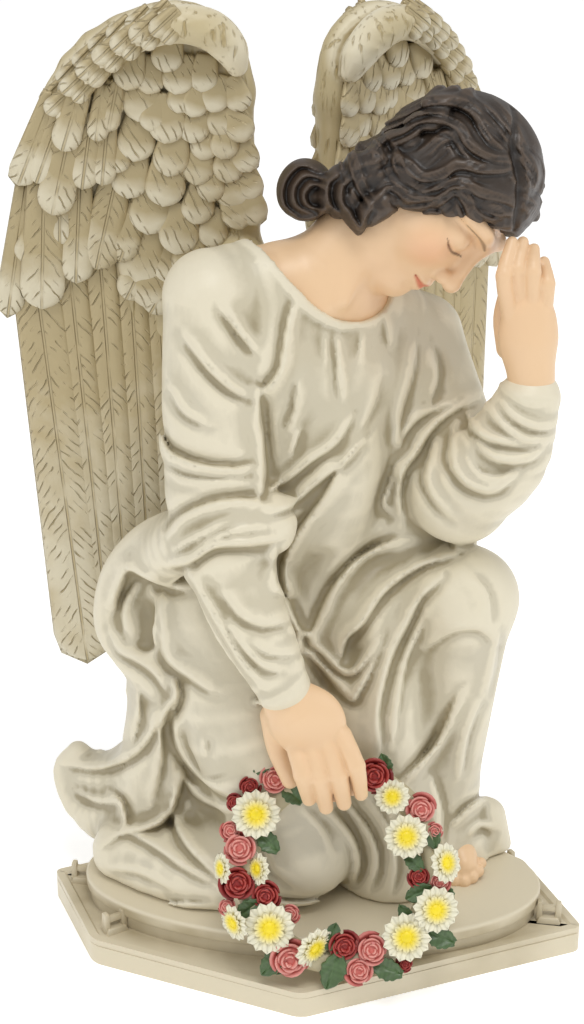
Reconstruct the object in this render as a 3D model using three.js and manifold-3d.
// Kneeling winged figure on a stepped plinth, one hand lowered to a ring of flowers.
// Millimetres, +Z up. The origin is the centre of the plinth's underside, X runs along
// the plinth's long side and the front faces -Y.
import * as THREE from 'three';
import Module from 'manifold-3d';

const wasm = await Module();
wasm.setup();

// Plinth
const PLATE_LENGTH = 154;
const PLATE_DEPTH = 98;
const PLATE_THICKNESS = 9.3;
const PLATE_CORNER_CUT = 53;
const PLATE_CORNER_RADIUS = 5;
const PLATE_BEAD = 1.1;
const OVAL_HALF_LENGTH = 77;
const OVAL_HALF_DEPTH = 37;
const OVAL_TURN = -25.7;
const OVAL_BACK = 1;
const OVAL_STEP = 4.3;
const OVAL_INSET = 3.2;
const BRACKET_HEIGHT = 8;
const BRACKET_WIDTH = 5;

// Figure, wings and ring
const FIGURE_HEIGHT = 262;
const FIGURE_TURN = -21.5;
const WING_OPENING = 2.5;
const RING_RADIUS = 30;
const RING_CORE = 4.2;
const FLOWER_SIZE = 1;
const GAP = 0.3;

const DEG = Math.PI / 180;
const SEAT = PLATE_THICKNESS + 2 * OVAL_STEP + GAP;

// The sculpture is placed from its front sheet: columns and rows of one sheet unit each,
// looked at from 24 degrees above the floor. A point is a column, a row and a depth.
const SHEET = { unit: 0.32, focus: 2200, middle: [292, 512], tilt: 24 * DEG, aim: 147 };
const BACK = new THREE.Vector3(0, -Math.cos(SHEET.tilt), Math.sin(SHEET.tilt));
const SHEET_UP = new THREE.Vector3(0, Math.sin(SHEET.tilt), Math.cos(SHEET.tilt));
const EYE = new THREE.Vector3(0, 0, SHEET.aim).addScaledVector(BACK, SHEET.focus * SHEET.unit);

// Where the drawing has the seat on the plinth, and how high the figure is drawn over it.
const SEAT_DRAWN = SHEET.aim - 128.8;
const FIGURE_DRAWN = 262;

function sight(col, row) {
  return new THREE.Vector3((col - SHEET.middle[0]) / SHEET.focus, 0, 0)
    .addScaledVector(SHEET_UP, (SHEET.middle[1] - row) / SHEET.focus).sub(BACK);
}
function at(col, row, depth) {
  const d = sight(col, row);
  return EYE.clone().addScaledVector(d, (depth - EYE.y) / d.y);
}
function span(points, radii, steps = 4) {
  const curve = new THREE.CatmullRomCurve3(points);
  const n = (points.length - 1) * steps;
  const out = [];
  for (let i = 0; i <= n; i++) {
    const s = (i / n) * (points.length - 1), a = Math.min(Math.floor(s), points.length - 2);
    const r = Array.isArray(radii) ? radii[a] + (radii[a + 1] - radii[a]) * (s - a) : radii;
    out.push({ p: curve.getPoint(i / n), r });
  }
  return out;
}

// A block of clay: signed distances on a grid, built up and carved with round strokes.
class Clay {
  constructor(low, high, cell) {
    this.low = low; this.cell = cell;
    this.n = [0, 1, 2].map((i) => Math.ceil((high[i] - low[i]) / cell) + 1);
    this.field = new Float32Array(this.n[0] * this.n[1] * this.n[2]).fill(60);
  }
  // Changes every cell between two corners by what its place and value call for.
  each(low, high, change) {
    const { n, cell, field } = this;
    const a = [0, 1, 2].map((i) => Math.max(0, Math.floor((low[i] - this.low[i]) / cell)));
    const b = [0, 1, 2].map((i) => Math.min(n[i] - 1, Math.ceil((high[i] - this.low[i]) / cell)));
    for (let k = a[2]; k <= b[2]; k++) for (let j = a[1]; j <= b[1]; j++) {
      for (let i = a[0]; i <= b[0]; i++) {
        const at = (k * n[1] + j) * n[0] + i;
        field[at] = change(this.low[0] + i * cell, this.low[1] + j * cell, this.low[2] + k * cell, field[at]);
      }
    }
    return this;
  }
  work(low, high, blend, carve, distance) {
    return this.each(low, high, (x, y, z, f) => {
      const d = distance(x, y, z);
      const h = Math.max(0, blend - Math.abs(carve ? f + d : f - d)) / Math.max(blend, 1e-6);
      const round = h * h * blend * 0.25;
      return carve ? Math.max(f, -d) + round : Math.min(f, d) - round;
    });
  }
  tube(points, radii, blend = 4, carve = false, steps = 4) {
    const s = span(points, radii, steps);
    const low = [1e9, 1e9, 1e9], high = [-1e9, -1e9, -1e9];
    for (const { p, r } of s) p.toArray().forEach((v, i) => {
      low[i] = Math.min(low[i], v - r - blend - 4); high[i] = Math.max(high[i], v + r + blend + 4);
    });
    const parts = s.slice(1).map(({ p: b, r }, i) => {
      const a = s[i].p, u = b.x - a.x, v = b.y - a.y, w = b.z - a.z;
      return { a, b, u, v, w, ll: u * u + v * v + w * w + 1e-9, r: s[i].r, dr: r - s[i].r };
    });
    return this.work(low, high, blend, carve, (x, y, z) => {
      let best = 1e9;
      for (const { a, b, u, v, w, ll, r, dr } of parts) {
        let t = ((x - a.x) * u + (y - a.y) * v + (z - a.z) * w) / ll;
        t = t < 0 ? 0 : t > 1 ? 1 : t;
        const X = x - a.x - t * u, Y = y - a.y - t * v, Z = z - a.z - t * w;
        const d = Math.sqrt(X * X + Y * Y + Z * Z) - r - t * dr;
        if (d < best) best = d;
      }
      return best;
    });
  }
  // An egg with half lengths along, across and through; along and face set its pose.
  egg(c, half, along = new THREE.Vector3(0, 0, 1), face = new THREE.Vector3(0, -1, 0), blend = 4,
    carve = false) {
    const u = along.clone().normalize();
    const v = new THREE.Vector3().crossVectors(face, u).normalize();
    const w = new THREE.Vector3().crossVectors(u, v);
    const reach = [0, 1, 2].map((i) => Math.hypot(u.toArray()[i] * half[0],
      v.toArray()[i] * half[1], w.toArray()[i] * half[2]) + blend + 4);
    const m = c.toArray();
    return this.work(m.map((q, i) => q - reach[i]), m.map((q, i) => q + reach[i]), blend, carve,
      (x, y, z) => {
        const X = x - c.x, Y = y - c.y, Z = z - c.z;
        const a = X * u.x + Y * u.y + Z * u.z, b = X * v.x + Y * v.y + Z * v.z;
        const g = X * w.x + Y * w.y + Z * w.z;
        const [p, q, r] = half;
        const k0 = Math.sqrt(a * a / (p * p) + b * b / (q * q) + g * g / (r * r));
        const k1 = Math.sqrt(a * a / p ** 4 + b * b / q ** 4 + g * g / r ** 4) + 1e-6;
        return k0 * (k0 - 1) / k1;
      });
  }
  // A flat leaf from root to tip with blunt ends, lying across the line of sight.
  blade(root, tip, half, thick, blend = 0.4) {
    const run = tip.clone().sub(root), length = run.length() / 2, u = run.normalize();
    const v = new THREE.Vector3().crossVectors(front, u).normalize();
    const w = new THREE.Vector3().crossVectors(u, v), m = root.clone().add(tip).multiplyScalar(0.5);
    const reach = [0, 1, 2].map((i) => Math.hypot(u.toArray()[i] * length,
      v.toArray()[i] * half, w.toArray()[i] * thick) + blend + 3);
    const c = m.toArray();
    return this.work(c.map((q, i) => q - reach[i]), c.map((q, i) => q + reach[i]), blend, false,
      (x, y, z) => {
        const X = x - m.x, Y = y - m.y, Z = z - m.z;
        const a = Math.abs(X * u.x + Y * u.y + Z * u.z) / length;
        const b = Math.abs(X * v.x + Y * v.y + Z * v.z) / half;
        const g = (X * w.x + Y * w.y + Z * w.z) / thick;
        return (Math.sqrt(Math.cbrt(a * a * a + b * b * b) ** 2 + g * g) - 1) * thick;
      });
  }
  value(p) {
    const { n, cell, field } = this;
    const g = [p.x, p.y, p.z].map((v, i) => (v - this.low[i]) / cell);
    const i = g.map((v, a) => Math.floor(v));
    if (i.some((v, a) => v < 0 || v > n[a] - 2)) return 60;
    let sum = 0;
    for (let q = 0; q < 8; q++) {
      const o = [q & 1, (q >> 1) & 1, q >> 2];
      const w = o.reduce((s, v, a) => s * (v ? g[a] - i[a] : 1 - g[a] + i[a]), 1);
      sum += w * field[((i[2] + o[2]) * n[1] + i[1] + o[1]) * n[0] + i[0] + o[0]];
    }
    return sum;
  }
  // Where the line of sight through a sheet point first meets the clay.
  meet(col, row) {
    const d = sight(col, row).normalize();
    let best = null, least = 1e9;
    for (let t = 560; t < 860; t += this.cell / 2) {
      const p = EYE.clone().addScaledVector(d, t), v = this.value(p);
      if (v < 0) return p;
      if (v < least) { least = v; best = p; }
    }
    return best;
  }
  // A ridge or, carved, a groove drawn on the sheet and laid on the clay's face.
  fold(marks, radius, blend = 3, carve = false, sink = 0) {
    const line = new THREE.CatmullRomCurve3(marks.map(([c, r]) => new THREE.Vector3(c, r, 0)));
    const steps = Math.max(4, marks.length * 3), pts = [], rad = [];
    for (let i = 0; i <= steps; i++) {
      const q = line.getPoint(i / steps);
      pts.push(this.meet(q.x, q.y).addScaledVector(BACK, -sink));
      rad.push(radius * (0.45 + 0.55 * Math.sin(Math.PI * i / steps)));
    }
    const calm = pts.map((p, i) => (i && i < steps
      ? p.clone().multiplyScalar(2).add(pts[i - 1]).add(pts[i + 1]).multiplyScalar(0.25) : p));
    return this.tube(calm, rad, blend, carve, 1);
  }
  // A fold of cloth along a line on the sheet: gentle on one side of it (the right-hand one
  // for side 1), dropping into its own shadow on the other.
  drape(marks, height, soft, side, crisp = 2, reach = 9) {
    const line = new THREE.CatmullRomCurve3(marks.map(([c, r]) => new THREE.Vector3(c, r, 0)));
    const n = marks.length * 4, m = [];
    for (let i = 0; i <= n; i++) m.push(line.getPoint(i / n));
    const met = m.map((q) => this.meet(q.x, q.y));
    const low = [0, 1, 2].map((i) => Math.min(...met.map((q) => q.getComponent(i))) - soft - 4);
    const high = [0, 1, 2].map((i) => Math.max(...met.map((q) => q.getComponent(i))) + soft + 4);
    const deep = met.map((q) => EYE.clone().sub(q).dot(BACK));
    const ease = (t) => t * t * (3 - 2 * t), bound = (t) => Math.min(1, Math.max(0, t));
    return this.each(low, high, (x, y, z, f) => {
      const far = (EYE.y - y) * BACK.y + (EYE.z - z) * BACK.z;
      const c = SHEET.middle[0] + SHEET.focus * x / far;
      const r = SHEET.middle[1] - SHEET.focus * ((y - EYE.y) * SHEET_UP.y + (z - EYE.z) * SHEET_UP.z) / far;
      let best = 1e9, across = 0, along = 0, level = 0;
      for (let k = 0; k < n; k++) {
        const u = m[k + 1].x - m[k].x, v = m[k + 1].y - m[k].y;
        const t = bound(((c - m[k].x) * u + (r - m[k].y) * v) / (u * u + v * v + 1e-9));
        const dx = c - m[k].x - t * u, dy = r - m[k].y - t * v, d = Math.hypot(dx, dy);
        if (d >= best) continue;
        best = d; across = Math.sign(u * dy - v * dx) * d;
        along = (k + t) / n; level = deep[k] + t * (deep[k + 1] - deep[k]);
      }
      const s = across * side * far / SHEET.focus;
      const gate = bound((reach - Math.abs(far - level)) / (reach * 0.4));
      if (!gate || s > soft || s < -3.4 * crisp) return f;
      const gentle = bound(1 - s / soft), tail = bound(1 - (-s / crisp - 1) / 2.4);
      const shape = s > 0 ? gentle * gentle * (1.6 - 0.6 * gentle)
        : s > -crisp ? 0.2 + 0.8 * Math.cos(Math.PI * s / crisp) : -0.6 * ease(tail);
      return f - height * shape * gate * Math.sin(Math.PI * bound(0.015 + 0.97 * along)) ** 0.6;
    });
  }
  cut(keep) {
    const { n, cell, field, low } = this;
    for (let k = 0, at = 0; k < n[2]; k++) for (let j = 0; j < n[1]; j++) {
      for (let i = 0; i < n[0]; i++, at++) {
        const d = keep(low[0] + i * cell, low[1] + j * cell, low[2] + k * cell);
        if (d > field[at]) field[at] = d;
      }
    }
    return this;
  }
}

// Closed triangle skin of the clay, one point per crossed cell.
function skin(clay) {
  const { n, field, cell, low } = clay;
  const id = (i, j, k) => (k * n[1] + j) * n[0] + i;
  const corner = [0, 1, 2, 3, 4, 5, 6, 7].map((q) => [q & 1, (q >> 1) & 1, q >> 2]);
  for (let k = 0; k < n[2]; k++) for (let j = 0; j < n[1]; j++) for (let i = 0; i < n[0]; i++) {
    if (!i || !j || !k || i === n[0] - 1 || j === n[1] - 1 || k === n[2] - 1) {
      field[id(i, j, k)] = Math.max(field[id(i, j, k)], 0.5);
    }
  }
  const linked = (mask) => {
    if (!mask) return true;
    let seen = mask & -mask, last = 0;
    while (seen !== last) {
      last = seen;
      for (let q = 0; q < 8; q++) if (seen >> q & 1) for (const b of [1, 2, 4]) {
        if (mask >> (q ^ b) & 1) seen |= 1 << (q ^ b);
      }
    }
    return seen === mask;
  };
  const bad = Array.from({ length: 256 }, (_, m) => !linked(m) || !linked(255 ^ m));
  for (let again = true; again;) {
    again = false;
    for (let k = 0; k + 1 < n[2]; k++) for (let j = 0; j + 1 < n[1]; j++) {
      for (let i = 0; i + 1 < n[0]; i++) {
        let m = 0;
        corner.forEach((c, q) => { if (field[id(i + c[0], j + c[1], k + c[2])] < 0) m |= 1 << q; });
        if (!bad[m]) continue;
        let pick = -1, least = 1e9;
        corner.forEach((c, q) => {
          const v = field[id(i + c[0], j + c[1], k + c[2])];
          if (v >= 0 && v < least) { least = v; pick = id(i + c[0], j + c[1], k + c[2]); }
        });
        field[pick] = -0.05 * cell; again = true;
      }
    }
  }
  const point = new Int32Array(field.length).fill(-1), pos = [], tri = [];
  for (let k = 0; k + 1 < n[2]; k++) for (let j = 0; j + 1 < n[1]; j++) {
    for (let i = 0; i + 1 < n[0]; i++) {
      const sum = [0, 0, 0]; let hits = 0;
      for (const c of corner) for (let a = 0; a < 3; a++) {
        if (c[a]) continue;
        const d = c.slice(); d[a] = 1;
        const f = field[id(i + c[0], j + c[1], k + c[2])];
        const g = field[id(i + d[0], j + d[1], k + d[2])];
        if (f < 0 === g < 0) continue;
        const t = f / (f - g); hits++;
        for (let b = 0; b < 3; b++) sum[b] += c[b] + (b === a ? t : 0);
      }
      if (!hits) continue;
      point[id(i, j, k)] = pos.length / 3;
      pos.push(low[0] + (i + sum[0] / hits) * cell, low[1] + (j + sum[1] / hits) * cell,
        low[2] + (k + sum[2] / hits) * cell);
    }
  }
  for (let k = 1; k + 1 < n[2]; k++) for (let j = 1; j + 1 < n[1]; j++) {
    for (let i = 1; i + 1 < n[0]; i++) for (let a = 0; a < 3; a++) {
      const e = [0, 0, 0]; e[a] = 1;
      const inside = field[id(i, j, k)] < 0;
      if (inside === field[id(i + e[0], j + e[1], k + e[2])] < 0) continue;
      const b = [0, 0, 0], c = [0, 0, 0]; b[(a + 1) % 3] = 1; c[(a + 2) % 3] = 1;
      const at4 = (s, t) => point[id(i - s * b[0] - t * c[0], j - s * b[1] - t * c[1],
        k - s * b[2] - t * c[2])];
      const q = [at4(0, 0), at4(1, 0), at4(1, 1), at4(0, 1)];
      if (!inside) q.reverse();
      tri.push(q[0], q[1], q[2], q[0], q[2], q[3]);
    }
  }
  return outer({ pos, tri });
}
// The largest connected skin, without strays or sealed hollows.
function outer({ pos, tri }) {
  const root = Int32Array.from({ length: pos.length / 3 }, (_, i) => i);
  const find = (i) => { while (root[i] !== i) { root[i] = root[root[i]]; i = root[i]; } return i; };
  for (let t = 0; t < tri.length; t += 3) {
    root[find(tri[t])] = find(tri[t + 1]); root[find(tri[t + 1])] = find(tri[t + 2]);
  }
  const count = new Map();
  for (const v of tri) count.set(find(v), (count.get(find(v)) || 0) + 1);
  const main = [...count].reduce((a, b) => (b[1] > a[1] ? b : a))[0];
  return { pos, tri: tri.filter((v) => find(v) === main) };
}

// Fewer triangles with the same form: cheapest edges first, by distance to the old planes.
function thin({ pos, tri }, target, care = () => 1) {
  const nv = pos.length / 3, quad = new Float64Array(nv * 10);
  const faces = Array.from({ length: nv }, () => new Set());
  const face = [];
  const sub = (a, b) => [pos[3 * a] - pos[3 * b], pos[3 * a + 1] - pos[3 * b + 1],
    pos[3 * a + 2] - pos[3 * b + 2]];
  const normal = (a, b, c) => {
    const u = sub(b, a), v = sub(c, a);
    return [u[1] * v[2] - u[2] * v[1], u[2] * v[0] - u[0] * v[2], u[0] * v[1] - u[1] * v[0]];
  };
  for (let t = 0; t < tri.length; t += 3) {
    const f = [tri[t], tri[t + 1], tri[t + 2]], m = normal(...f), size = Math.hypot(...m) || 1e-9;
    const [a, b, c] = m.map((v) => v / size), l = size * care(...pos.slice(3 * f[0], 3 * f[0] + 3));
    const d = -(a * pos[3 * f[0]] + b * pos[3 * f[0] + 1] + c * pos[3 * f[0] + 2]);
    const q = [a * a, a * b, a * c, a * d, b * b, b * c, b * d, c * c, c * d, d * d];
    for (const v of f) { faces[v].add(face.length); q.forEach((x, i) => { quad[v * 10 + i] += x * l; }); }
    face.push(f);
  }
  const stamp = new Int32Array(nv), heap = [];
  const push = (e) => {
    heap.push(e);
    for (let i = heap.length - 1; i;) {
      const p = (i - 1) >> 1;
      if (heap[p].cost <= heap[i].cost) break;
      [heap[p], heap[i]] = [heap[i], heap[p]]; i = p;
    }
  };
  const pop = () => {
    const top = heap[0], last = heap.pop();
    if (heap.length) {
      heap[0] = last;
      for (let i = 0; ;) {
        let c = 2 * i + 1;
        if (c >= heap.length) break;
        if (c + 1 < heap.length && heap[c + 1].cost < heap[c].cost) c++;
        if (heap[i].cost <= heap[c].cost) break;
        [heap[i], heap[c]] = [heap[c], heap[i]]; i = c;
      }
    }
    return top;
  };
  const edge = (a, b) => {
    const q = new Float64Array(10);
    for (let i = 0; i < 10; i++) q[i] = quad[a * 10 + i] + quad[b * 10 + i];
    const [A, B, C, D, E, F, G, H, I] = q;
    const det = A * (E * H - F * F) - B * (B * H - F * C) + C * (B * F - E * C);
    const mid = [0, 1, 2].map((i) => (pos[3 * a + i] + pos[3 * b + i]) / 2);
    const long = Math.hypot(...sub(a, b));
    let p = mid;
    if (Math.abs(det) > 1e-3 * (A + E + H) ** 3 / 27) {
      p = [-(D * (E * H - F * F) - B * (G * H - I * F) + C * (G * F - E * I)) / det,
        -(A * (G * H - F * I) - D * (B * H - F * C) + C * (B * I - G * C)) / det,
        -(A * (E * I - G * F) - B * (B * I - G * C) + D * (B * F - E * C)) / det];
      if (Math.hypot(...p.map((v, i) => v - mid[i])) > long) p = mid;
    }
    const [x, y, z] = p;
    const cost = A * x * x + E * y * y + H * z * z + q[9]
      + 2 * (B * x * y + C * x * z + D * x + F * y * z + G * y + I * z);
    push({ cost: Math.max(cost, 0) + 1e-5 * long * long, a, b, p, sa: stamp[a], sb: stamp[b] });
  };
  const around = (v) => {
    const s = new Set();
    for (const f of faces[v]) for (const w of face[f]) if (w !== v) s.add(w);
    return s;
  };
  for (let v = 0; v < nv; v++) for (const w of around(v)) if (w > v) edge(v, w);
  let alive = face.length;
  while (alive > target && heap.length) {
    const e = pop();
    if (e.sa !== stamp[e.a] || e.sb !== stamp[e.b] || !faces[e.a] || !faces[e.b]) continue;
    const na = around(e.a), nb = around(e.b);
    let shared = 0;
    for (const w of na) if (nb.has(w)) shared++;
    if (shared !== 2 || na.size + nb.size > 22 || na.size + nb.size < 8) continue;
    const turned = [e.a, e.b].some((v) => [...faces[v]].some((f) => {
      if (face[f].includes(e.a) && face[f].includes(e.b)) return false;
      const old = normal(...face[f]), keep = [0, 1, 2].map((i) => pos[3 * v + i]);
      e.p.forEach((x, i) => { pos[3 * v + i] = x; });
      const now = normal(...face[f]);
      keep.forEach((x, i) => { pos[3 * v + i] = x; });
      const dot = old[0] * now[0] + old[1] * now[1] + old[2] * now[2];
      return dot < 0.2 * Math.hypot(...old) * Math.hypot(...now) || Math.hypot(...now) < 1e-3;
    }));
    if (turned) continue;
    for (const f of [...faces[e.b]]) {
      if (face[f].includes(e.a)) {
        for (const w of face[f]) faces[w].delete(f);
        face[f] = null; alive--;
      } else {
        face[f] = face[f].map((w) => (w === e.b ? e.a : w)); faces[e.a].add(f);
      }
    }
    faces[e.b] = null; stamp[e.b]++; stamp[e.a]++;
    e.p.forEach((x, i) => { pos[3 * e.a + i] = x; });
    for (let i = 0; i < 10; i++) quad[e.a * 10 + i] += quad[e.b * 10 + i];
    for (const w of around(e.a)) edge(e.a, w);
  }
  return { pos, tri: face.filter(Boolean).flat() };
}

function solid({ pos, tri }) {
  const used = new Map(), v = [];
  const t = tri.map((i) => {
    if (!used.has(i)) { used.set(i, used.size); v.push(pos[3 * i], pos[3 * i + 1], pos[3 * i + 2]); }
    return used.get(i);
  });
  return new wasm.Manifold(new wasm.Mesh({
    numProp: 3, vertProperties: new Float32Array(v), triVerts: new Uint32Array(t),
  }));
}
function biggest(m) {
  return m.decompose().reduce((a, b) => (b.volume() > a.volume() ? b : a));
}
function raw(m) {
  const g = m.getMesh();
  return { pos: Array.from(g.vertProperties), tri: Array.from(g.triVerts) };
}
function fromGeometry(geometry) {
  const g = geometry.index ? geometry.toNonIndexed() : geometry;
  const p = g.attributes.position.array, seen = new Map(), pos = [], tri = [];
  for (let i = 0; i < p.length; i += 3) {
    const key = [p[i], p[i + 1], p[i + 2]].map((x) => Math.round(x * 1e4)).join();
    if (!seen.has(key)) { seen.set(key, pos.length / 3); pos.push(p[i], p[i + 1], p[i + 2]); }
    tri.push(seen.get(key));
  }
  const keep = [];
  for (let i = 0; i < tri.length; i += 3) {
    const [a, b, c] = tri.slice(i, i + 3);
    if (a !== b && b !== c && a !== c) keep.push(a, b, c);
  }
  return solid({ pos, tri: keep });
}
// The same skin pushed out a little along its corner normals, to clear a neighbour.
function grown(m, by) {
  const { pos, tri } = raw(m), push = new Float64Array(pos.length);
  for (let t = 0; t < tri.length; t += 3) {
    const f = [tri[t], tri[t + 1], tri[t + 2]].map((i) => new THREE.Vector3().fromArray(pos, 3 * i));
    const n = f[1].clone().sub(f[0]).cross(f[2].clone().sub(f[0]));
    for (let c = 0; c < 3; c++) n.toArray().forEach((x, i) => { push[3 * tri[t + c] + i] += x; });
  }
  for (let i = 0; i < pos.length; i += 3) {
    const l = Math.hypot(push[i], push[i + 1], push[i + 2]) || 1;
    for (let a = 0; a < 3; a++) pos[i + a] += by * push[i + a] / l;
  }
  return solid({ pos, tri });
}

const up = new THREE.Vector3(0, 0, 1), front = new THREE.Vector3(0, -1, 0);

// Folds of the robe: marks on the sheet, height, soft width, and which side is the soft one.
const FOLDS = [
  [[[221, 306], [240, 332], [257, 352]], 1.8, 5, -1],
  [[[296, 300], [289, 325], [285, 350], [280, 372], [266, 390], [257, 388]], 2.3, 4.5, -1],
  [[[185, 335], [207, 365], [228, 385], [247, 396]], 2.5, 4.5, -1],
  [[[170, 385], [185, 410], [207, 424]], 1.6, 3.5, -1],
  [[[156, 426], [168, 452], [198, 466], [232, 470], [251, 467]], 2.8, 5, 1],
  [[[166, 537], [182, 518], [212, 505], [245, 501], [267, 505]], 2.2, 5, 1],
  [[[168, 566], [190, 560], [215, 546], [250, 543], [279, 539]], 3, 6, -1],
  [[[170, 552], [200, 535], [233, 520]], 1.3, 3, -1],
  [[[187, 567], [202, 595], [222, 630], [242, 662], [262, 687]], 2.5, 3.5, -1],
  [[[222, 590], [242, 615], [265, 624], [287, 619]], 1.7, 6, -1],
  [[[228, 622], [243, 645], [262, 664], [280, 670]], 1.8, 4, -1],
  [[[257, 390], [259, 420], [262, 450], [263, 478], [257, 502]], 3, 6, 1],
  [[[274, 545], [275, 580], [287, 604], [300, 640], [302, 662]], 2.4, 5, 1],
  [[[111, 602], [119, 582], [128, 569], [147, 577], [169, 586], [190, 588]], 2.6, 6, -1],
  [[[129, 571], [118, 592], [112, 612]], 2, 5, 1],
  [[[111, 632], [121, 650], [140, 661], [156, 674], [168, 692]], 2.4, 5, -1],
  [[[139, 583], [128, 598], [124, 615], [126, 634]], 1.3, 3, -1],
  [[[165, 589], [161, 607], [166, 643]], 1.3, 4, -1],
  [[[159, 628], [168, 658], [190, 676], [214, 691]], 2.3, 7, -1],
  [[[175, 680], [177, 700], [163, 722]], 1.7, 3, 1],
  [[[352, 415], [335, 442], [310, 460], [285, 480], [266, 490]], 2.1, 4, 1],
  [[[362, 440], [345, 460], [312, 485], [290, 505], [267, 512]], 2.3, 4.5, 1],
  [[[366, 440], [342, 467], [326, 497], [301, 530], [287, 557], [284, 575], [290, 597],
    [297, 618]], 2.4, 6, -1],
  [[[312, 637], [321, 615], [335, 587], [357, 562], [380, 548], [404, 540]], 2.5, 5, 1],
  [[[290, 616], [300, 631], [313, 638]], 2, 4, -1],
  [[[455, 554], [420, 565], [385, 590], [362, 622], [346, 638], [340, 660]], 2.7, 6, 1],
  [[[440, 577], [420, 597], [407, 622], [392, 652], [382, 685], [377, 715], [379, 752]], 3.2, 7, 1],
  [[[301, 644], [325, 670], [350, 697], [357, 692], [365, 677], [380, 645]], 2.3, 5, -1],
  [[[292, 632], [317, 647], [337, 667], [351, 673], [364, 660], [381, 636]], 1.7, 3.5, -1],
  [[[498, 632], [492, 665], [484, 700]], 1.3, 4, 1],
  [[[462, 692], [440, 740], [420, 765], [400, 784]], 2.3, 4.5, -1],
  [[[482, 695], [466, 735], [458, 780]], 1.5, 5, 1],
  [[[415, 338], [410, 375], [400, 412], [396, 448]], 1.6, 5, 1],
  [[[478, 398], [460, 406], [440, 420], [426, 436], [418, 450], [406, 466], [400, 482], [398, 500],
    [402, 520]], 2.4, 5, 1],
  [[[455, 400], [420, 416], [404, 434], [399, 450]], 1.7, 4, 1],
  [[[398, 464], [386, 492], [382, 507], [390, 517], [397, 506], [401, 484]], 1.6, 2.5, -1],
  [[[437, 434], [431, 455], [426, 478], [434, 498], [450, 516]], 1.9, 4, -1],
  [[[454, 426], [451, 458], [461, 478], [476, 488], [494, 490], [514, 476]], 2.8, 5, -1],
  [[[466, 408], [472, 424], [486, 437], [504, 442], [530, 446]], 2.2, 4, -1],
  [[[474, 438], [490, 456], [510, 461], [530, 458], [542, 449]], 2.1, 4, -1],
  [[[486, 404], [498, 420], [512, 432], [528, 440], [546, 440]], 1.7, 3, -1],
  [[[500, 398], [512, 415], [532, 426], [552, 427]], 1.3, 3, -1],
  [[[175, 708], [177, 742], [194, 770], [219, 790], [246, 799]], 2.8, 8, -1],
  [[[181, 772], [200, 797], [232, 813]], 1.7, 4, -1],
  [[[173, 800], [176, 822], [188, 845], [206, 864], [226, 882]], 2.6, 7, -1],
  [[[124, 690], [111, 728], [99, 751]], 1.8, 3.5, 1],
  [[[158, 708], [150, 735], [132, 755], [100, 767], [64, 763]], 2.2, 4.5, 1],
  [[[173, 680], [176, 694], [165, 712], [160, 730], [160, 762], [150, 806]], 2.3, 4.5, 1],
  [[[136, 690], [138, 715], [130, 745]], 1.3, 3, 1],
  [[[111, 793], [122, 806], [125, 828]], 1.8, 4, 1],
  [[[123, 829], [148, 827], [167, 816], [178, 790], [182, 770]], 2.5, 5, -1],
];
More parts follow.
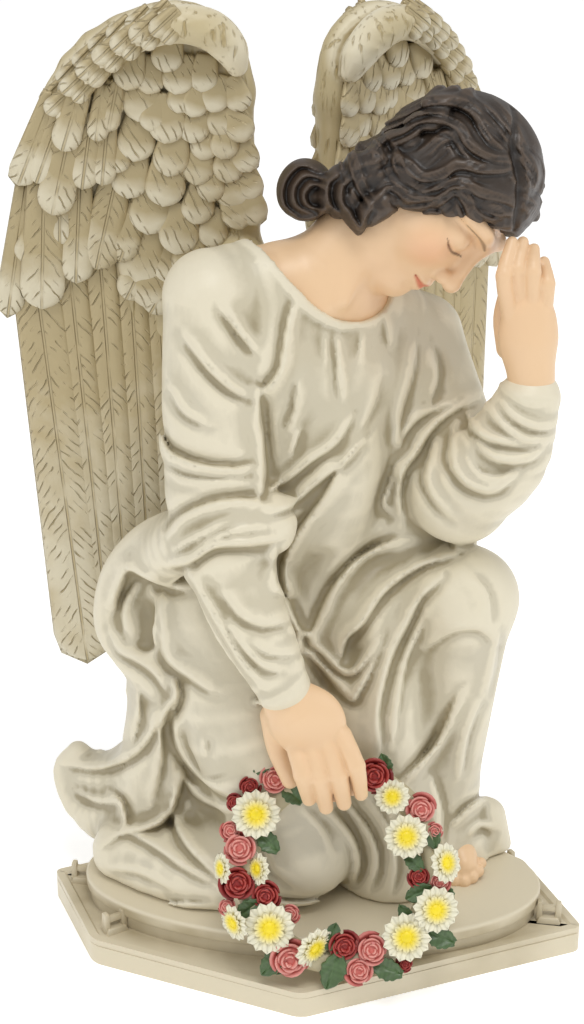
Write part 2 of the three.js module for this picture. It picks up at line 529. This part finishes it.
// The robed body, its head, hair, hands and foot, cast as one.
function modelFigure() {
  const c = new Clay([-98, -82, SEAT_DRAWN - 6], [100, 50, SEAT_DRAWN + 270], 1.7);
  // hips, back and the robe behind them
  c.tube([at(232, 610, -4), at(320, 590, 10)], [25, 23], 8);
  c.tube([at(262, 600, 8), at(255, 700, 4), at(240, 800, 0), at(235, 850, -2)], [24, 22, 19, 18], 10);
  c.tube([at(330, 620, 12), at(345, 720, 8), at(350, 830, 4)], [21, 19, 19], 10);
  c.tube([at(410, 620, 8), at(420, 720, 6), at(425, 830, 4)], [18, 16, 17], 10);
  // trunk
  c.tube([at(285, 590, 4), at(308, 520, 2), at(322, 460, -4), at(318, 380, -2)], [24, 22, 21, 21], 8);
  c.tube([at(258, 350, -16), at(372, 368, 10)], [18, 17], 10);
  c.tube([at(210, 292, -18), at(305, 292, -4), at(420, 330, 22)], [13, 17, 11], 8);
  c.tube([at(262, 380, -12), at(266, 500, -8)], [15, 17], 8);
  c.tube([at(392, 370, 12), at(405, 440, 8), at(400, 520, 6)], [15, 16, 16], 8);
  // lowered arm: sleeve, gathered band, forearm
  c.tube([at(208, 300, -22), at(210, 400, -26), at(216, 480, -28)], [13.2, 14.5, 15.5], 5);
  c.tube([at(218, 500, -28), at(224, 545, -32)], [15.5, 15], 4);
  c.tube([at(226, 555, -34), at(250, 620, -40), at(284, 688, -46)], [13.5, 12, 8.6], 4);
  // raised arm
  c.tube([at(424, 335, 22), at(450, 420, 8), at(470, 480, -8)], [12, 13, 14], 6);
  c.tube([at(456, 496, -10), at(500, 458, -18), at(530, 398, -22)], [14.5, 14.5, 9.3], 4);
  c.tube([at(420, 470, 2), at(470, 505, -8)], [13, 10], 6);
  // raised leg
  c.tube([at(325, 590, 10), at(400, 590, 2), at(466, 596, -12)], [23, 19, 15.5], 6);
  c.tube([at(466, 600, -12), at(452, 700, -8), at(440, 790, 0), at(450, 850, 2)],
    [15.5, 13.5, 13, 14], 6);
  c.tube([at(488, 815, 4), at(492, 850, 6)], [6, 7], 4);
  // kneeling leg
  c.tube([at(232, 610, -6), at(252, 720, -16), at(296, 838, -24)], [25, 22, 17.5], 8);
  c.tube([at(298, 850, -24), at(200, 868, -20), at(125, 850, -8)], [17, 15, 11], 6);
  // cloth between the legs
  c.tube([at(372, 620, -6), at(376, 700, -14), at(385, 790, -12), at(392, 860, -12)],
    [18, 16, 17, 19], 8);
  // cloth thrown over the lowered arm, falling at the side
  c.tube([at(258, 522, -33), at(230, 524, -34), at(190, 540, -28), at(160, 560, -16)],
    [12, 13, 10, 7], 2);
  c.tube([at(262, 510, -36), at(270, 534, -36)], [6, 5.5], 3);
  c.tube([at(190, 530, -22), at(150, 547, -8), at(121, 575, -2), at(113, 615, -2), at(122, 643, -6),
    at(150, 668, -12), at(170, 694, -15), at(166, 716, -16)], [8.5, 8, 6.5, 6.5, 6, 5, 4, 3], 4);
  c.tube([at(170, 620, -6), at(165, 700, -2), at(160, 780, 2)], [14, 13, 14], 8);
  // tail of the robe over the plinth
  c.tube([at(180, 740, 6), at(125, 770, 12), at(82, 770, 20)], [12, 9, 6], 6);
  c.tube([at(150, 800, 4), at(105, 815, 12), at(76, 790, 20)], [12, 9, 5], 6);
  c.tube([at(78, 752, 20), at(66, 770, 22), at(78, 800, 18)], [4, 4.5, 5], 4);
  // neck, skull, jaw
  const crown = new THREE.Vector3(0.87, -0.1, 0.47), gaze = new THREE.Vector3(0.36, -0.5, -0.79);
  c.tube([at(318, 285, -4), at(345, 250, -4), at(385, 215, -2)], [15, 13.5, 14], 6);
  c.egg(at(452, 190, 0), [31, 23, 27], crown, gaze, 4);
  c.egg(at(432, 240, -6), [23, 19, 19], crown, gaze, 5);
  c.tube([at(396, 282, -12), at(404, 276, -10)], [6, 7], 5);
  c.tube([at(463, 262, -19), at(446, 288, -22)], [3, 3.6], 3);
  // hair: cap, roll over the brow, knot at the nape, lock before the ear
  c.egg(at(450, 168, 4), [34, 27, 26], crown, gaze, 3);
  c.tube([at(372, 205, -12), at(410, 200, -18), at(455, 212, -22), at(500, 215, -18),
    at(528, 200, -8)], [6, 7, 7.5, 7, 7], 3);
  c.tube([at(372, 150, 0), at(355, 185, -4), at(356, 212, -10)], [10, 8, 5], 4);
  c.egg(at(307, 190, 0), [9.5, 8.5, 9], up, front, 2);
  c.tube([at(335, 178, -2), at(352, 190, -4)], [7, 7.5], 3);
  // lowered hand with four fingers and a thumb
  c.tube([at(288, 700, -47), at(302, 728, -46)], [6.6, 7.6], 3);
  c.egg(at(314, 744, -46), [11, 10, 6], new THREE.Vector3(0.3, 0, -1), front, 3);
  for (const [a, b, d] of [[300, 304, 798], [318, 325, 806], [334, 345, 800], [347, 361, 788]]) {
    c.tube([at(a, 756, -47), at((a + b) / 2 + 4, 776, -50), at(b, d, -46)], [3.3, 3, 2.5], 1.5);
  }
  c.tube([at(290, 738, -42), at(287, 766, -42), at(296, 786, -44)], [3.4, 3, 2.4], 2);
  // raised hand, fingers to the brow
  c.tube([at(530, 395, -22), at(529, 350, -21)], [7, 8], 3);
  c.egg(at(527, 325, -20), [14, 9, 6], up, front, 3);
  for (const [a, b, d] of [[504, 512, 246], [519, 526, 244], [533, 538, 252], [545, 549, 266]]) {
    c.tube([at(a, 300, -20), at(a + 1, 270, -19), at(b, d, -15)], [3.3, 3, 2.4], 1.5);
  }
  // bare foot under the hem
  c.tube([at(448, 856, -8), at(470, 866, -16)], [6, 4.5], 3);
  for (let i = 0; i < 4; i++) c.egg(at(462 + 6 * i, 872 - 5 * i, -20 + 2.4 * i), [3, 2, 2], front, up, 1);
  // cuffs and neckline
  c.fold([[258, 700], [285, 706], [312, 684]], 2.4, 2);
  c.fold([[500, 384], [528, 402], [556, 400]], 2.2, 2);
  c.fold([[252, 228], [266, 262], [300, 306], [345, 324], [385, 300]], 1.8, 1.5);
  // hollows inside the rolled cloth and between the folds of the lap
  c.tube([at(132, 588, -12), at(141, 612, -14), at(144, 642, -16)], [3, 4.4, 3], 3, true);
  for (const [col, row, wide, high] of [[314, 596, 6, 12], [352, 652, 2.6, 5], [390, 497, 2.2, 6.5],
    [388, 426, 5, 14]]) {
    c.egg(c.meet(col, row).addScaledVector(BACK, 1.5), [high, wide, 4.5],
      new THREE.Vector3(0.25, 0, 1), front, 7, true);
  }
  for (const [marks, height, soft, side] of FOLDS) c.drape(marks, height * 1.15, soft, side);
  c.fold([[362, 236], [352, 256], [356, 290]], 2.2, 4, true, 0.4);
  // waves of the hair
  for (let i = 0; i < 5; i++) {
    const r = 106 + 20 * i;
    c.fold([[368 + 3 * i, r + 46], [404, r + 8], [440, r + 18], [472, r + 2], [505, r + 22],
      [526, r + 34]], 2, 2, true);
  }
  c.cut((x, y, z) => SEAT_DRAWN - z);
  return c;
}

// One wing, drawn as the one at the left of the sheet: plate, long quills, coverts, scales.
function modelWing() {
  const c = new Clay([-116, -6, SEAT_DRAWN + 40], [18, 50, SEAT_DRAWN + 294], 1.5);
  const plane = (row) => 27 - (row - 200) * 0.012;
  const feather = (a, b, width, lift, thick = 2.4) => {
    const p = at(a[0], a[1], plane(a[1]) - lift + 2), q = at(b[0], b[1], plane(b[1]) - lift - 1);
    c.blade(p, q, width * SHEET.unit / 2, thick);
  };
  // body of the wing behind the feathers
  for (let i = 0; i <= 8; i++) {
    const t = i / 8, a = Math.PI * (0.93 - 0.86 * t);
    const top = [150 + 88 * Math.cos(a), 112 - 82 * Math.sin(a)];
    c.tube([at(...top, plane(100) + 3), at(46 + 190 * t, 190, plane(100) + 3),
      at(34 + 205 * t, 350 - 40 * t, plane(350) + 3)], [5.5, 5.5, 4.5], 5);
  }
  // long quills
  const quills = [[[20, 240], [100, 660], 50], [[44, 250], [116, 655], 44], [[82, 240], [138, 640], 44],
    [[120, 240], [160, 610], 44], [[152, 250], [186, 580], 40]];
  quills.forEach(([a, b, w], i) => feather(a, b, w, 0.8 * i, 3.2));
  quills.forEach(([a, b], i) => c.tube([0.1, 0.5, 0.95].map((t) => at(a[0] + (b[0] - a[0]) * t,
    a[1] + (b[1] - a[1]) * t, plane(a[1] + (b[1] - a[1]) * t) - 0.8 * i - 3.2)), 1, 0.8));
  // coverts
  const coverts = [[[26, 180], [4, 312], 26], [[52, 190], [44, 306], 46], [[86, 180], [78, 280], 36],
    [[126, 170], [100, 268], 42], [[150, 240], [136, 290], 40], [[172, 250], [150, 312], 40],
    [[58, 90], [18, 190], 28], [[66, 120], [50, 218], 40], [[104, 120], [100, 188], 26],
    [[84, 70], [62, 152], 28], [[112, 84], [104, 144], 20], [[100, 60], [46, 140], 30]];
  coverts.forEach(([a, b, w], i) => feather(a, b, w, 4.6 + 0.25 * i, 3));
  // small round scales, row under row
  for (let row = 0; row < 8; row++) for (let k = 0; k < 4; k++) {
    const col = 140 + 29 * k + (row % 2 ? -12 : 2) + row * 1.5, top = 46 + 27 * row + 4 * k;
    if (col < 236 + row * 2) feather([col + 4, top], [col - 4, top + 44], 30, 8 - 0.2 * row, 3);
  }
  // thick rounded lip along the leading edge
  c.tube([[70, 96, 4], [104, 62, 7], [140, 34, 9], [176, 22, 11], [210, 30, 11], [232, 52, 9],
    [240, 78, 7], [244, 120, 6], [252, 170, 6], [258, 216, 7]].map(([a, b, d]) =>
    at(a, b, plane(b) - d + 2)), [3, 4, 5, 5.6, 5.4, 4.6, 3.4, 3, 3, 4], 1.5);
  c.tube([[60, 100], [120, 40], [176, 18], [225, 40], [238, 90]].map(([a, b]) => at(a, b, plane(b) + 3)),
    [4, 5, 5.5, 5, 4], 5);
  // root against the back
  c.tube([at(235, 180, 27), at(240, 250, 25), at(236, 330, 24)], [6, 8, 6], 5);
  c.tube([at(240, 262, 26), at(262, 292, 18), at(285, 318, 8)], [9, 9, 8.5], 4);
  return c;
}

const placed = (m, scale) => m
  .translate([0, 0, -SEAT_DRAWN]).scale([scale, scale, scale])
  .rotate([0, 0, FIGURE_TURN]).translate([-1.95, 14.6, SEAT]);

function slab(shape, bottom, height, bevel = 0, curveSegments = 3) {
  const g = new THREE.ExtrudeGeometry(shape, { depth: height - 2 * bevel, bevelEnabled: bevel > 0,
    bevelThickness: bevel, bevelSize: bevel, bevelOffset: -bevel, bevelSegments: 1, curveSegments });
  g.translate(0, 0, bottom + bevel);
  return fromGeometry(g);
}
function plateShape(inset) {
  const x = PLATE_LENGTH / 2 - inset, y = PLATE_DEPTH / 2 - inset;
  const cut = PLATE_CORNER_CUT - inset * 0.6, r = Math.max(PLATE_CORNER_RADIUS - inset, 1.5);
  const corners = [[-x, -y + cut], [-x + cut, -y], [x, -y], [x, y - cut], [x - cut, y], [-x, y]];
  const s = new THREE.Shape();
  corners.forEach(([px, py], i) => {
    const [ax, ay] = corners[(i + 5) % 6], [bx, by] = corners[(i + 1) % 6];
    const la = Math.hypot(ax - px, ay - py), lb = Math.hypot(bx - px, by - py);
    const from = [px + (ax - px) * r / la, py + (ay - py) * r / la];
    if (i) s.lineTo(...from); else s.moveTo(...from);
    s.quadraticCurveTo(px, py, px + (bx - px) * r / lb, py + (by - py) * r / lb);
  });
  s.closePath();
  return s;
}
function ovalShape(inset) {
  const s = new THREE.Shape();
  s.absellipse(0, 0, OVAL_HALF_LENGTH - inset, OVAL_HALF_DEPTH - inset, 0, 2 * Math.PI, false, 0);
  return s;
}
const oval = (inset, bottom, height) => slab(ovalShape(inset), bottom, height, 0, 18)
  .rotate([0, 0, OVAL_TURN]).translate([0, OVAL_BACK, 0]);

// Brackets against the lower oval: place on the plate and the way each one faces.
const BRACKETS = [[-68, 8, 190], [69, -40, -30]];
// Small stone bracket: a capped block with a slanted foot, facing outward along +X.
function bracket() {
  const h = BRACKET_HEIGHT, w = BRACKET_WIDTH;
  const s = new THREE.Shape();
  [[-w, 0], [w * 1.2, 0], [w * 1.2, h * 0.18], [w * 0.35, h * 0.62], [w * 0.35, h * 0.8],
    [w * 0.5, h * 0.84], [w * 0.5, h], [-w, h]].forEach(([x, z], i) => (i ? s.lineTo(x, z) : s.moveTo(x, z)));
  const g = new THREE.ExtrudeGeometry(s, { depth: w, bevelEnabled: false });
  g.translate(0, 0, -w / 2).rotateX(Math.PI / 2);
  return fromGeometry(g);
}
function plinth() {
  const groove = PLATE_THICKNESS - 2 * PLATE_BEAD;
  let m = slab(plateShape(0), 0, groove)
    .add(slab(plateShape(PLATE_BEAD * 0.7), groove - 0.5, PLATE_BEAD * 0.5 + 0.5))
    .add(slab(plateShape(0), groove + PLATE_BEAD * 0.5, PLATE_BEAD * 1.5, PLATE_BEAD * 0.4))
    .add(oval(0, PLATE_THICKNESS - 1, OVAL_STEP + 1))
    .add(oval(OVAL_INSET, PLATE_THICKNESS, 2 * OVAL_STEP));
  for (const turn of [0, 180]) for (const [x, y, face] of BRACKETS) {
    m = m.add(bracket().rotate([0, 0, face]).translate([x, y, PLATE_THICKNESS - 0.01])
      .rotate([0, 0, turn]));
  }
  return m;
}

// The ring of flowers lies in a plane square to the line of sight, low end on the plate.
const RING_MIDDLE = at(340, 868, -47);
function inRing(m, col, row, lift = 0) {
  const scale = 0.322;
  const p = RING_MIDDLE.clone().add(new THREE.Vector3((col - 340) * scale, 0, 0))
    .addScaledVector(SHEET_UP, (868 - row) * scale).addScaledVector(BACK, lift);
  return m.rotate([90 - SHEET.tilt / DEG, 0, 0]).translate(p.toArray());
}
function turned(profile, sides) {
  return fromGeometry(new THREE.LatheGeometry(profile.map(([r, z]) => new THREE.Vector2(r, z)), sides)
    .rotateX(Math.PI / 2));
}
function daisy(r) {
  const s = new THREE.Shape(), petals = 8;
  for (let i = 0; i < 2 * petals; i++) {
    const a = Math.PI * i / petals, q = r * (i % 2 ? 0.72 : 1);
    if (i) s.lineTo(q * Math.cos(a), q * Math.sin(a)); else s.moveTo(q, 0);
  }
  const g = new THREE.ExtrudeGeometry(s, { depth: 1.6, bevelEnabled: false });
  return fromGeometry(g).add(turned([[0, 0.4], [r * 0.36, 0.5], [r * 0.3, 2.4], [0, 2.8]], 5));
}
function rose(r) {
  return turned([[0, -1], [r * 0.7, -0.6], [r, r * 0.55], [r * 0.8, r * 1.05], [r * 0.5, r * 0.8],
    [0, r * 1.15]], 6);
}
function leaf(r) {
  const s = new THREE.Shape();
  s.moveTo(-r, 0); s.quadraticCurveTo(-r * 0.1, -r, r, 0); s.quadraticCurveTo(-r * 0.1, r, -r, 0);
  return fromGeometry(new THREE.ExtrudeGeometry(s, { depth: 1.4, bevelEnabled: false, curveSegments: 2 }));
}
function ring() {
  let m = inRing(fromGeometry(new THREE.TorusGeometry(RING_RADIUS, RING_CORE, 6, 24)), 340, 868);
  const put = (make, marks, lift) => marks.forEach(([c, r, size], i) => {
    const turn = 40 * i + Math.atan2(868 - r, c - 340) / DEG;
    m = m.add(inRing(make(size * 0.32 * FLOWER_SIZE).rotate([0, 0, turn]), c, r, lift));
  });
  put(leaf, [[248, 908, 13], [273, 961, 14], [333, 967, 15], [386, 965, 13], [436, 932, 14],
    [418, 890, 12], [412, 861, 11], [429, 836, 11], [388, 768, 11], [291, 790, 12]], 2.2);
  put(rose, [[274, 778, 14], [242, 808, 9], [242, 847, 16], [236, 880, 15], [266, 892, 13],
    [291, 912, 10], [289, 955, 18], [343, 942, 14], [372, 946, 15], [358, 968, 12], [404, 961, 9],
    [417, 874, 10], [438, 880, 10], [418, 807, 14], [372, 776, 15]], 2);
  put(daisy, [[257, 812, 22], [270, 924, 23], [312, 942, 18], [405, 933, 22], [433, 906, 21],
    [440, 859, 16], [405, 834, 19], [391, 795, 16], [256, 864, 14]], 3.4);
  return m;
}

const colours = { plinth: 0xcfc6a8, robe: 0xd8d0b8, wing: 0xd2c8a6, ring: 0x9a4a48 };
const out = new THREE.Group();
out.name = 'kneeling_figure';
function addMesh(name, m, colour) {
  const g = m.getMesh(), geometry = new THREE.BufferGeometry();
  geometry.setAttribute('position', new THREE.BufferAttribute(new Float32Array(g.vertProperties), 3));
  geometry.setIndex(new THREE.BufferAttribute(new Uint32Array(g.triVerts), 1));
  geometry.computeVertexNormals();
  const mesh = new THREE.Mesh(geometry,
    new THREE.MeshStandardMaterial({ color: colour, roughness: 0.55, metalness: 0 }));
  mesh.name = name;
  out.add(mesh);
}

const scale = FIGURE_HEIGHT / FIGURE_DRAWN;
const fine = (x, y, z) => (z > 222 || Math.hypot(x - 10, z - 80) < 22 ? 5 : 1) * (y < 8 ? 3 : 1);
const figure = placed(biggest(solid(thin(skin(modelFigure()), 4250, fine))), scale);
const wing = biggest(solid(thin(skin(modelWing()), 1600, (x, y) => (y < 26 ? 6 : 1))));
const right = placed(wing, scale);
const left = right.mirror([1, 0, 0]).translate([-6.5 * scale, -40 * scale, -5 * scale])
  .rotate([0, 0, WING_OPENING]).translate([26 * scale, 40 * scale, 0]);
const clear = grown(figure, 0.45);
const steps = slab(plateShape(-3), 0, PLATE_THICKNESS + GAP)
  .add(oval(-GAP, PLATE_THICKNESS, 2 * OVAL_STEP + GAP));
addMesh('plinth', plinth(), colours.plinth);
addMesh('kneeling_angel', figure, colours.robe);
addMesh('wing_right', biggest(right.subtract(clear)), colours.wing);
addMesh('wing_left', biggest(left.subtract(clear)), colours.wing);
addMesh('flower_ring', biggest(placed(solid(thin(raw(ring()), 1500)), scale)
  .subtract(clear.add(steps))), colours.ring);

export default out;
